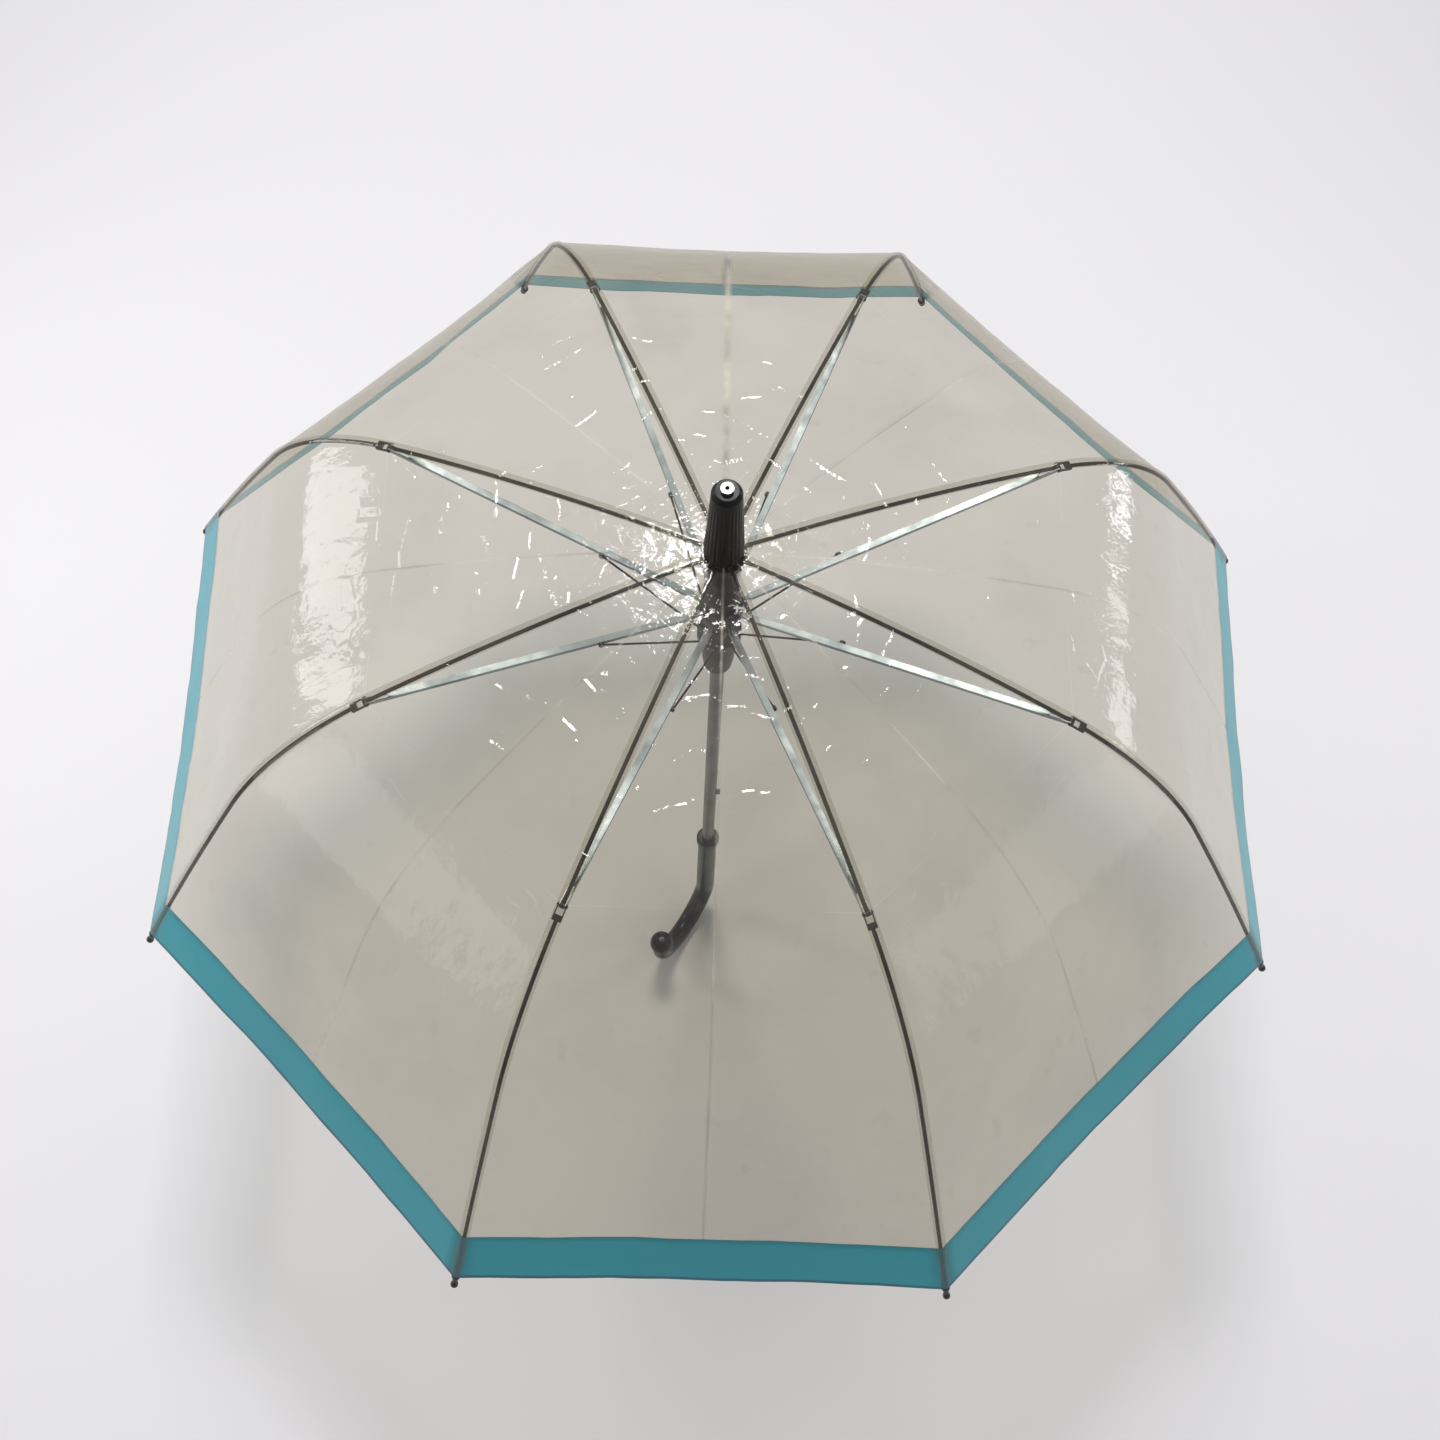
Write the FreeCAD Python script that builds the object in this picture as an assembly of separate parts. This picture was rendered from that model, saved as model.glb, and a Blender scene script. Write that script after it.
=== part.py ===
import FreeCAD, Part
import math
import os

V = FreeCAD.Vector

# A clear dome umbrella, open. Sizes in millimetres. Heights in this file are measured from the plane of the
# rib pivots in the crown, and every node is lifted by GRIP_DEPTH at the end, so that the part's origin is the
# middle of the hand grip, on the shaft's axis. +Z runs up the shaft. Each rib set is drawn in the XZ plane,
# with X as the distance from the shaft, and then turned to its place.
GRIP_DEPTH = 586.0
RIB_COUNT = 8
FIRST_RIB_TURN = 22.5
RIB_PITCH = 360.0 / RIB_COUNT

# Linkage: rib and stretcher are equally long and pivot at equal radii, so the runner slides straight.
PIVOT_RADIUS = 13.0
JOINT_RADIUS = 238.0
JOINT_DEPTH = 38.0
LINK_PIVOT_ALONG = 72.25
LINK_OFFSET = 3.3
LINK_RING_RADIUS = 12.5
LINK_RING_DEPTH = 112.0

# Rib curve: angles are the slope below the horizontal.
RIM_RADIUS = 440.0
RIM_DEPTH = 306.0
UPPER_BOW = 6.0
LOWER_START_SLOPE = 18.0
LOWER_MID_SLOPE = 60.0
LOWER_END_SLOPE = 63.5
RIB_R = 1.35
TIP_LENGTH = 12.0
TIP_FLARE_R = 3.0
TIP_NUB_R = 2.6

# Pivot hardware: RUN is the running gap round a pin, and CUT reaches right through any pivot.
RUN = 0.05
CUT = 9.0
SMALL_PIN_R = 0.6
JOINT_PIN_R = 0.8
LINK_PIN_R = 0.7
PIN_REACH = 0.5
EYE_R = 1.6
EYE_HALF = 1.2
NECK_LENGTH = 5.5
NECK_HALF = 1.1
ROD_START = 4.0
ROD_STOP = 1.0
BOSS_R = 1.9
BOSS_HALF = 1.3
HEEL_LENGTH = 4.0
HEEL_HALF = 1.15
CHEEK_IN = 1.65
CHEEK_OUT = 2.15
FORK_IN = 2.45
FORK_OUT = 3.0
FORK_HALF = 1.1
FORK_LENGTH = 8.0
BRIDGE_START = 6.0
BRIDGE_END = 10.0
CHANNEL_HALF = 1.75
CHANNEL_START = 7.0
CHANNEL_SOLID = 14.0
WEB = 0.6
LINK_WIRE_R = 0.75
LINK_EYE_HALF = 0.85
LINK_EYE_R = 2.0
LINK_PLAY = 0.2
LINK_HEAD_R = 1.4
LINK_HEAD = 0.4

# Film
FILM_LIFT = 2.4
FILM_THICK = 0.3
FILM_GAP = 0.15
FILM_TOP_RADIUS = 13.0
UPPER_FILM_STEPS = 4
LOWER_FILM_STEPS = 6
RIM_FILM_STEPS = 2

# Shaft, crown and runners
SHAFT_R = 5.0
SHAFT_WALL = 0.8
SHAFT_TOP = 68.0
SHAFT_BOTTOM = -592.0
SLIDE_R = 5.3
DISC_R = 15.2
CROWN_R = 14.6
DISC_HALF = 4.0
SLOT_HALF = 1.8
SLOT_FLOOR = 10.4
SLOT_PIN_GRIP = 0.7
CROWN_TOP = 1.2
CROWN_BOTTOM = -5.0
BELL_TOP = -9.0
BELL_BOTTOM = -58.0
BELL_SCALLOP_R = 3.4
RUNNER_SLIT = 5.6
RUNNER_HUB_R = 7.6
RIDGE_COUNT = 5
RIDGE_PITCH = 4.8
RIDGE_GROOVE = 0.8
LINK_NOTCH_R = 9.8
LINK_NOTCH_IN = 2.35
LINK_NOTCH_OUT = 5.0
LOWER_BORE_R = 8.0
LOWER_BORE_END = -132.0
LOWER_TAIL = -165.0
LINK_SLOT_HALF = 1.25

# Button
BUTTON_Z = -412.0
BUTTON_R = 2.3
BUTTON_IN = 2.0
BUTTON_OUT = 7.9
BUTTON_EDGE = 0.8
FLANGE_R = 2.9
FLANGE_IN = 0.9
FLANGE_THICK = 1.3
LEAF_THICK = 0.4
LEAF_HALF = 1.2
LEAF_FOLD = 40.0
LEAF_TAIL = 30.0

# Ferrule and handle
FERRULE_TOP = 78.0
FERRULE_BASE_R = 12.8
FERRULE_TOP_R = 9.6
RING_R = 4.0
RING_STEM_R = 3.5
RING_BORE_R = 1.5
RING_STAND = 3.0
HANDLE_TOP = -520.0
COLLAR_LENGTH = 10.0
COLLAR_R = 9.5
HANDLE_R = 8.0
HANDLE_STRAIGHT = 116.0
BEND_TOP = HANDLE_TOP - COLLAR_LENGTH - HANDLE_STRAIGHT
HOOK_R = 37.0
HOOK_TURN = 239.0
HOOK_RISE = 12.0
CAP_R = 10.2

STRETCHER = math.hypot(JOINT_RADIUS - PIVOT_RADIUS, JOINT_DEPTH)
OPEN_SLOPE = math.degrees(math.atan2(JOINT_DEPTH, JOINT_RADIUS - PIVOT_RADIUS))
RUNNER_DEPTH = 2 * JOINT_DEPTH
Y_AXIS = V(0, 1, 0)
Z_AXIS = V(0, 0, 1)


def sin(degrees):
    return math.sin(math.radians(degrees))


def cos(degrees):
    return math.cos(math.radians(degrees))


def y_cylinder(radius, x, z, low, high):
    """A round bar across the rib's plane, from low to high along Y."""
    return Part.makeCylinder(radius, high - low, V(x, low, z), Y_AXIS)


def box(x0, x1, y0, y1, z0, z1):
    return Part.makeBox(x1 - x0, y1 - y0, z1 - z0, V(x0, y0, z0))


def pin_hole(pin_radius, x, z):
    """The cutter for a running hole round a pin."""
    return y_cylinder(pin_radius + RUN, x, z, -CUT, CUT)


def turned_profile(points):
    """A solid of revolution about the shaft's axis from (radius, height) points."""
    corners = [V(r, 0, z) for r, z in points]
    face = Part.Face(Part.makePolygon(corners + corners[:1]))
    return face.revolve(V(0, 0, 0), Z_AXIS, 360)


def turned(solid, turn):
    """A copy turned about the shaft's axis."""
    copy = solid.copy()
    copy.rotate(V(0, 0, 0), Z_AXIS, turn)
    return copy


def fused(solids):
    whole = solids[0].multiFuse(solids[1:]) if len(solids) > 1 else solids[0]
    return whole.removeSplitter()


def save(name, solids, turn=0.0):
    """Turn the node to its rib's place, lift it to the grip's frame and write it."""
    shape = Part.Compound(solids)
    shape.rotate(V(0, 0, 0), Z_AXIS, turn)
    shape.translate(V(0, 0, GRIP_DEPTH))
    shape.exportStep("parts/" + name + ".step")


class Curve:
    """A path in the XZ plane made of arcs that bend down, each given by its slopes and radius."""

    def __init__(self, x, z, arcs):
        self.pieces = []
        for start, end, radius in arcs:
            centre = (x - radius * sin(start), z - radius * cos(start))
            length = radius * math.radians(end - start)
            self.pieces.append((centre, start, end, radius, length))
            x = centre[0] + radius * sin(end)
            z = centre[1] + radius * cos(end)
        self.length = sum(p[4] for p in self.pieces)

    def at(self, distance):
        """(x, z, slope) at a distance along the path."""
        for centre, start, end, radius, length in self.pieces:
            if distance <= length or (centre, start) == self.pieces[-1][:2]:
                slope = start + math.degrees(distance / radius)
                return centre[0] + radius * sin(slope), centre[1] + radius * cos(slope), slope
            distance -= length

    def rod(self, radius, first, last):
        """A round rod from the first to the last distance along the path."""
        solids = []
        done = 0.0
        for centre, start, end, bend, length in self.pieces:
            low = max(first - done, 0.0)
            high = min(last - done, length)
            if high > low:
                slope = start + math.degrees(low / bend)
                point = V(centre[0] + bend * sin(slope), 0, centre[1] + bend * cos(slope))
                circle = Part.makeCircle(radius, point, V(cos(slope), 0, -sin(slope)))
                turn = math.degrees((high - low) / bend)
                disc = Part.Face(Part.Wire([circle]))
                solids.append(disc.revolve(V(centre[0], 0, centre[1]), Y_AXIS, turn))
            done += length
        return fused(solids)


def upper_curve():
    start = OPEN_SLOPE - UPPER_BOW
    end = OPEN_SLOPE + UPPER_BOW
    radius = STRETCHER / (2 * sin(UPPER_BOW))
    return Curve(PIVOT_RADIUS, 0.0, [(start, end, radius)])


def lower_curve():
    """Two arcs from the joint to the rim whose radii make the end land on the rim."""
    a, m, b = LOWER_START_SLOPE, LOWER_MID_SLOPE, LOWER_END_SLOPE
    out1, down1 = sin(m) - sin(a), cos(a) - cos(m)
    out2, down2 = sin(b) - sin(m), cos(m) - cos(b)
    out = RIM_RADIUS - JOINT_RADIUS
    down = RIM_DEPTH - JOINT_DEPTH
    det = out1 * down2 - out2 * down1
    r1 = (out * down2 - out2 * down) / det
    r2 = (out1 * down - down1 * out) / det
    return Curve(JOINT_RADIUS, -JOINT_DEPTH, [(a, m, r1), (m, b, r2)])


UPPER = upper_curve()
LOWER = lower_curve()


def sloped(solid, x, z, slope):
    """Turn a solid drawn along +X at the origin to a downward slope, and move it to x, z."""
    solid = solid.copy()
    solid.rotate(V(0, 0, 0), Y_AXIS, slope)
    solid.translate(V(x, 0, z))
    return solid


def rib_upper():
    """The gently bowed inner half of a rib, with an eye at the crown and a cross pin at the joint."""
    rod = UPPER.rod(RIB_R, ROD_START, UPPER.length - ROD_STOP)
    start_slope = UPPER.at(0)[2]
    end_slope = UPPER.at(UPPER.length)[2]
    eye = y_cylinder(EYE_R, 0, 0, -EYE_HALF, EYE_HALF)
    neck = box(0, NECK_LENGTH, -EYE_HALF, EYE_HALF, -NECK_HALF, NECK_HALF)
    root_end = fused([eye, neck]).cut(pin_hole(SMALL_PIN_R, 0, 0))
    root_end = sloped(root_end, PIVOT_RADIUS, 0, start_slope)
    boss = y_cylinder(BOSS_R, 0, 0, -BOSS_HALF, BOSS_HALF)
    heel = box(-HEEL_LENGTH, 0, -EYE_HALF, EYE_HALF, -HEEL_HALF, HEEL_HALF)
    pin = y_cylinder(JOINT_PIN_R, 0, 0, -FORK_OUT - PIN_REACH, FORK_OUT + PIN_REACH)
    joint_end = sloped(fused([boss, heel, pin]), JOINT_RADIUS, -JOINT_DEPTH, end_slope)
    return fused([rod, root_end, joint_end])


def rib_lower():
    """The curved outer half of a rib, forked over the joint."""
    cheeks = []
    for side in (-1, 1):
        low, high = sorted((side * FORK_IN, side * FORK_OUT))
        plate = box(0, FORK_LENGTH, low, high, -FORK_HALF, FORK_HALF)
        round_end = y_cylinder(EYE_R, 0, 0, low, high)
        cheeks.append(fused([plate, round_end]))
    bridge = box(BRIDGE_START, BRIDGE_END, -FORK_OUT, FORK_OUT, -FORK_HALF, FORK_HALF)
    fork = fused(cheeks + [bridge]).cut(pin_hole(JOINT_PIN_R, 0, 0))
    fork = sloped(fork, JOINT_RADIUS, -JOINT_DEPTH, LOWER_START_SLOPE)
    rod = LOWER.rod(RIB_R, FORK_LENGTH, LOWER.length - TIP_LENGTH)
    return fused([fork, rod])


def rib_tip():
    """The moulded end cap: a flared base, a waist and a round nub."""
    x, z, slope = LOWER.at(LOWER.length - TIP_LENGTH)
    profile = [
        (0, 0), (TIP_FLARE_R, 0), (TIP_FLARE_R, 1.6), (1.9, 4.5), (1.9, 8.0),
        (TIP_NUB_R, 10.0), (TIP_NUB_R, 12.0), (1.6, TIP_LENGTH + 1.4), (0, TIP_LENGTH + 1.6),
    ]
    tip = turned_profile(profile)
    tip.rotate(V(0, 0, 0), Y_AXIS, 90 + slope)
    tip.translate(V(x, 0, z))
    return tip


def stretcher():
    """A pressed channel from the runner to the rib joint, open underneath, with the link's pin."""
    end = STRETCHER
    start = CHANNEL_START
    solids = []
    for side in (-1, 1):
        low, high = sorted((side * CHEEK_IN, side * CHEEK_OUT))
        solids.append(box(start, end, low, high, -CHANNEL_HALF, CHANNEL_HALF))
        solids.append(y_cylinder(CHANNEL_HALF, end, 0, low, high))
    web_end = end - CHANNEL_SOLID
    solids.append(box(start, web_end, -CHEEK_OUT, CHEEK_OUT, CHANNEL_HALF - WEB, CHANNEL_HALF))
    solids.append(box(start, CHANNEL_SOLID, -CHEEK_OUT, CHEEK_OUT, -EYE_HALF, CHANNEL_HALF))
    solids.append(box(0, start + 1, -EYE_HALF, EYE_HALF, -EYE_HALF, EYE_HALF))
    solids.append(y_cylinder(EYE_R, 0, 0, -EYE_HALF, EYE_HALF))
    head = LINK_OFFSET + LINK_EYE_HALF + LINK_PLAY
    solids.append(y_cylinder(LINK_PIN_R, LINK_PIVOT_ALONG, 0, -CHEEK_OUT, head))
    solids.append(y_cylinder(LINK_HEAD_R, LINK_PIVOT_ALONG, 0, head, head + LINK_HEAD))
    whole = fused(solids)
    whole = whole.cut(pin_hole(SMALL_PIN_R, 0, 0))
    whole = whole.cut(pin_hole(JOINT_PIN_R, end, 0))
    return sloped(whole, PIVOT_RADIUS, -RUNNER_DEPTH, -OPEN_SLOPE)


def link():
    """A bent wire from the stretcher to the lower runner, beside the channel."""
    x0 = PIVOT_RADIUS + LINK_PIVOT_ALONG * cos(OPEN_SLOPE)
    z0 = -RUNNER_DEPTH + LINK_PIVOT_ALONG * sin(OPEN_SLOPE)
    x1, z1 = LINK_RING_RADIUS, -LINK_RING_DEPTH
    run = V(x1 - x0, 0, z1 - z0)
    low, high = LINK_OFFSET - LINK_EYE_HALF, LINK_OFFSET + LINK_EYE_HALF
    wire = Part.makeCylinder(LINK_WIRE_R, run.Length, V(x0, LINK_OFFSET, z0), run)
    top = y_cylinder(LINK_EYE_R, x0, z0, low, high)
    bottom = y_cylinder(LINK_EYE_R, x1, z1, low, high)
    whole = fused([wire, top, bottom])
    whole = whole.cut(pin_hole(LINK_PIN_R, x0, z0))
    return whole.cut(pin_hole(LINK_PIN_R, x1, z1))


def film_loop(curve, distance):
    """The film's cross-section over one rib: level lines run out to the middle of each panel."""
    x, z, slope = curve.at(distance)
    half = RIB_PITCH / 2
    rows = []
    for lift in (FILM_LIFT + FILM_THICK, FILM_LIFT):
        r = x + lift * sin(slope)
        h = z + lift * cos(slope)
        reach = r * cos(half) * sin(half) - FILM_GAP
        inset = reach * math.tan(math.radians(half))
        rows.append([V(r - inset, -reach, h), V(r, 0, h), V(r - inset, reach, h)])
    return rows[0] + rows[1][::-1]


def solid_through(loops):
    """A closed solid of flat triangles through equal loops of six points."""
    faces = []

    def triangle(a, b, c):
        faces.append(Part.Face(Part.makePolygon([a, b, c, a])))

    for first, second in zip(loops, loops[1:]):
        for i in range(6):
            j = (i + 1) % 6
            triangle(first[i], first[j], second[j])
            triangle(first[i], second[j], second[i])
    for end in (loops[0], loops[-1]):
        for a, b, c, d in ((0, 1, 4, 5), (1, 2, 3, 4)):
            triangle(end[a], end[b], end[c])
            triangle(end[a], end[c], end[d])
    shell = Part.Shell(faces)
    solid = Part.Solid(shell)
    if solid.Volume < 0:
        solid.reverse()
    return solid


def film_upper():
    first = FILM_TOP_RADIUS - PIVOT_RADIUS
    last = UPPER.length - FILM_GAP
    step = (last - first) / UPPER_FILM_STEPS
    return solid_through([film_loop(UPPER, first + step * i) for i in range(UPPER_FILM_STEPS + 1)])


def film_lower():
    """Short steps where the rib bends most, and long ones down to the rim."""
    last = LOWER.length - TIP_LENGTH - 0.5
    bend = LOWER.pieces[0][4]
    step = (bend - FILM_GAP) / LOWER_FILM_STEPS
    stations = [FILM_GAP + step * i for i in range(LOWER_FILM_STEPS + 1)]
    step = (last - bend) / RIM_FILM_STEPS
    stations += [bend + step * i for i in range(1, RIM_FILM_STEPS + 1)]
    return solid_through([film_loop(LOWER, s) for s in stations])


def slotted(disc, radius, depth, low, high, floor):
    """Cut one slot for each rib in a disc, with a short pin across it at the pivot radius."""
    slot = box(floor, DISC_R + 3, low, high, -depth - 2 * DISC_HALF, -depth + 2 * DISC_HALF)
    pin = y_cylinder(SMALL_PIN_R, radius, -depth, low - SLOT_PIN_GRIP, high + SLOT_PIN_GRIP)
    pins = []
    for k in range(RIB_COUNT):
        turn = FIRST_RIB_TURN + k * RIB_PITCH
        disc = disc.cut(turned(slot, turn))
        pins.append(turned(pin, turn))
    return fused([disc] + pins)


def crown():
    """The top notch that holds the rib ends, fixed to the shaft."""
    disc = turned_profile([
        (SHAFT_R, CROWN_TOP), (CROWN_R, CROWN_TOP), (CROWN_R, CROWN_BOTTOM), (SHAFT_R, CROWN_BOTTOM),
    ])
    disc = slotted(disc, PIVOT_RADIUS, 0.0, -SLOT_HALF, SLOT_HALF, SLOT_FLOOR)
    hub = turned_profile([
        (SHAFT_R, CROWN_BOTTOM), (8.5, CROWN_BOTTOM), (7.5, BELL_TOP), (SHAFT_R, BELL_TOP),
    ])
    return fused([disc, hub])


def bell():
    """The hollow cone under the crown, with a scalloped lower edge."""
    low = BELL_BOTTOM
    outer = [(SHAFT_R, BELL_TOP), (7.6, BELL_TOP), (8.2, -20), (9.8, -36), (12.0, -50), (12.8, low)]
    inner = [(11.6, low), (10.8, -50), (8.6, -36), (7.0, -20), (6.2, -14), (SHAFT_R, -14)]
    cone = turned_profile(outer + inner)
    notch = Part.makeCylinder(BELL_SCALLOP_R, 20, V(0, 0, low - 1.6), V(1, 0, 0))
    for k in range(RIB_COUNT):
        cone = cone.cut(turned(notch, k * RIB_PITCH))
    return cone


def ferrule():
    """The moulded top spike, blind over the end of the shaft, with a pocket for its ring."""
    base = [
        (SHAFT_R, CROWN_TOP), (11.2, CROWN_TOP), (11.2, 3.4), (FERRULE_BASE_R - 0.6, 3.4),
        (FERRULE_BASE_R, 4.6), (FERRULE_BASE_R, 9.0),
    ]
    top = [
        (FERRULE_TOP_R, FERRULE_TOP - 3.5), (8.6, FERRULE_TOP - 1.4), (7.2, FERRULE_TOP),
        (RING_STEM_R, FERRULE_TOP),
    ]
    floor = FERRULE_TOP - RING_STAND
    pocket = [(RING_STEM_R, floor), (0, floor), (0, SHAFT_TOP), (SHAFT_R, SHAFT_TOP)]
    return turned_profile(base + top + pocket)


def ferrule_ring():
    """A bright collar that sits on the spike's end, with a stem in the pocket."""
    high = FERRULE_TOP + RING_STAND
    low = FERRULE_TOP - RING_STAND
    return turned_profile([
        (RING_BORE_R, low), (RING_STEM_R, low), (RING_STEM_R, FERRULE_TOP), (RING_R, FERRULE_TOP),
        (RING_R, high), (RING_BORE_R, high),
    ])


def shaft():
    inner = SHAFT_R - SHAFT_WALL
    tube = turned_profile(
        [(inner, SHAFT_BOTTOM), (SHAFT_R, SHAFT_BOTTOM), (SHAFT_R, SHAFT_TOP), (inner, SHAFT_TOP)]
    )
    hole = Part.makeCylinder(BUTTON_R + RUN, 10, V(0, 0, BUTTON_Z), V(1, 0, 0))
    return tube.cut(hole)


def button():
    """A round catch button that sits in the shaft's wall, with a flange inside the tube."""
    axis = V(1, 0, 0)
    stem = Part.makeCylinder(BUTTON_R, BUTTON_OUT - BUTTON_IN, V(BUTTON_IN, 0, BUTTON_Z), axis)
    rim = [e for e in stem.Edges if abs(e.CenterOfMass.x - BUTTON_OUT) < 0.01]
    stem = stem.makeFillet(BUTTON_EDGE, rim)
    flange = Part.makeCylinder(FLANGE_R, FLANGE_THICK, V(FLANGE_IN, 0, BUTTON_Z), axis)
    return fused([stem, flange])


def catch_spring():
    """A folded leaf in the tube that pushes the button out."""
    fold = BUTTON_Z + LEAF_FOLD
    foot = BUTTON_Z - LEAF_TAIL
    back = -3.5
    points = [
        (back, foot), (back + LEAF_THICK, foot), (back + LEAF_THICK, fold - 1),
        (0.2, BUTTON_Z + 4), (0.4, BUTTON_Z - 3), (0.4 + LEAF_THICK, BUTTON_Z - 3),
        (0.2 + LEAF_THICK, BUTTON_Z + 4), (-2.7, fold), (back, fold),
    ]
    corners = [V(x, -LEAF_HALF, z) for x, z in points]
    return Part.Face(Part.makePolygon(corners + corners[:1])).extrude(V(0, 2 * LEAF_HALF, 0))


def slit(low, high):
    """The opening along each runner that lets the button pass."""
    return box(0, DISC_R + 3, -RUNNER_SLIT / 2, RUNNER_SLIT / 2, low, high)


def runner():
    """The upper runner: the stretchers' notch over a ridged neck."""
    top = -RUNNER_DEPTH + DISC_HALF
    bottom = -RUNNER_DEPTH - DISC_HALF
    points = [(SLIDE_R, top + 6), (7.4, top + 6), (8.8, top), (DISC_R, top), (DISC_R, bottom)]
    groove_r = RUNNER_HUB_R - RIDGE_GROOVE
    for i in range(RIDGE_COUNT):
        z = bottom - i * RIDGE_PITCH
        points += [(RUNNER_HUB_R, z), (RUNNER_HUB_R, z - 2.6), (groove_r, z - 3.0), (groove_r, z - 4.4)]
    foot = bottom - RIDGE_COUNT * RIDGE_PITCH
    points += [(SLIDE_R, foot + 0.4)]
    body = turned_profile(points)
    body = slotted(body, PIVOT_RADIUS, RUNNER_DEPTH, -SLOT_HALF, SLOT_HALF, SLOT_FLOOR)
    notch = box(LINK_NOTCH_R, DISC_R + 3, LINK_NOTCH_IN, LINK_NOTCH_OUT, bottom - 1, top + 1)
    for k in range(RIB_COUNT):
        body = body.cut(turned(notch, FIRST_RIB_TURN + k * RIB_PITCH))
    return body.cut(slit(foot - 5, top + 10))


def runner_lower():
    """The lower runner: the links' notch over a rounded tail that slides over the neck."""
    top = -LINK_RING_DEPTH + DISC_HALF
    bottom = -LINK_RING_DEPTH - DISC_HALF
    tail = LOWER_TAIL
    points = [
        (LOWER_BORE_R, top), (DISC_R, top), (DISC_R, bottom), (12.0, bottom - 1.5),
        (11.8, bottom - 16), (11.0, tail + 16), (9.8, tail + 5), (8.4, tail + 1.0), (7.0, tail),
        (SLIDE_R, tail), (SLIDE_R, LOWER_BORE_END), (LOWER_BORE_R, LOWER_BORE_END),
    ]
    body = turned_profile(points)
    low, high = LINK_OFFSET - LINK_SLOT_HALF, LINK_OFFSET + LINK_SLOT_HALF
    body = slotted(body, LINK_RING_RADIUS, LINK_RING_DEPTH, low, high, SLOT_FLOOR - 0.6)
    return body.cut(slit(tail - 5, top + 5))


def collar():
    low = HANDLE_TOP - COLLAR_LENGTH
    return turned_profile([
        (SHAFT_R, HANDLE_TOP), (8.2, HANDLE_TOP), (COLLAR_R, HANDLE_TOP - 1.5),
        (COLLAR_R, low + 1), (8.8, low), (SHAFT_R, low),
    ])


def handle():
    """The crook: a straight grip, a half-circle bend and a short upright end."""
    top = HANDLE_TOP - COLLAR_LENGTH
    low = BEND_TOP
    grip = Part.makeCylinder(HANDLE_R, top - low, V(0, 0, low), Z_AXIS)
    disc = Part.Face(Part.Wire([Part.makeCircle(HANDLE_R, V(0, 0, low), Z_AXIS)]))
    bend = disc.revolve(V(HOOK_R, 0, low), V(0, -1, 0), 180)
    end = Part.makeCylinder(HANDLE_R, HOOK_RISE, V(2 * HOOK_R, 0, low), Z_AXIS)
    whole = fused([grip, bend, end])
    bore = Part.makeCylinder(SHAFT_R, top - SHAFT_BOTTOM, V(0, 0, SHAFT_BOTTOM), Z_AXIS)
    return whole.cut(bore)


def handle_cap():
    """The rounded knob that closes the crook's end."""
    low = BEND_TOP + HOOK_RISE
    cap = turned_profile([
        (0, low), (HANDLE_R, low), (CAP_R - 0.4, low + 1.2), (CAP_R, low + 4), (CAP_R - 0.3, low + 8),
        (CAP_R - 1.6, low + 11.5), (CAP_R - 4.4, low + 13.8), (2.5, low + 14.8), (0, low + 14.9),
    ])
    cap.translate(V(2 * HOOK_R, 0, 0))
    return cap


def main():
    os.makedirs("parts", exist_ok=True)
    rib_parts = {
        "rib_upper": [rib_upper()],
        "rib_lower": [rib_lower(), rib_tip()],
        "stretcher": [stretcher()],
        "link": [link()],
        "film_upper": [film_upper()],
        "film_lower": [film_lower()],
    }
    for k in range(RIB_COUNT):
        for name, solids in rib_parts.items():
            copies = [s.copy() for s in solids]
            save(f"{name}_{k + 1}", copies, FIRST_RIB_TURN + k * RIB_PITCH)
    save("crown", [crown()])
    save("bell", [bell()])
    save("ferrule", [ferrule()])
    save("ferrule_ring", [ferrule_ring()])
    save("shaft", [shaft()])
    save("button", [button()])
    save("catch_spring", [catch_spring()])
    save("runner", [runner()])
    save("runner_lower", [runner_lower()])
    save("handle_collar", [collar()])
    save("handle", [handle()], HOOK_TURN)
    save("handle_cap", [handle_cap()], HOOK_TURN)


main()
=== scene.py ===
import math

import bpy
from mathutils import Matrix, Vector, noise


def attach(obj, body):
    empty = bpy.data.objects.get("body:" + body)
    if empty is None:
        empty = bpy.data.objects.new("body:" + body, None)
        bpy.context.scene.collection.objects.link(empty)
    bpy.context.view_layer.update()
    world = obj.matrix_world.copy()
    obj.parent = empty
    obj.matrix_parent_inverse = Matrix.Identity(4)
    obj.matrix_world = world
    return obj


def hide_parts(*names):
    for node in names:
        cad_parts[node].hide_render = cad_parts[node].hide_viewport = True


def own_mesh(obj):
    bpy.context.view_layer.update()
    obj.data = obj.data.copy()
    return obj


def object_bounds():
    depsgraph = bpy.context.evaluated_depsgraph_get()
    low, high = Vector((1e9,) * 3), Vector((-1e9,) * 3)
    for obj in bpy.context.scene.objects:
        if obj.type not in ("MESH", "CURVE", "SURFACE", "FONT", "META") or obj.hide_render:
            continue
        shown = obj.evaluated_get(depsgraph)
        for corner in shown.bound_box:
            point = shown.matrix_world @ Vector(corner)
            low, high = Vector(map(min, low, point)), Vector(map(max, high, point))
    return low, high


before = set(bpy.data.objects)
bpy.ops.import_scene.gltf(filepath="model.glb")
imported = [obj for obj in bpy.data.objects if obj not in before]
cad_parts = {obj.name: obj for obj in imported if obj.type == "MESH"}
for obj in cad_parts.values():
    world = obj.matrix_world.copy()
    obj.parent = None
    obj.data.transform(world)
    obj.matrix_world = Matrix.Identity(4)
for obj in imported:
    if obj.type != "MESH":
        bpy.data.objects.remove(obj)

CAD_BOX = [list(corner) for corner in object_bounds()]

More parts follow.
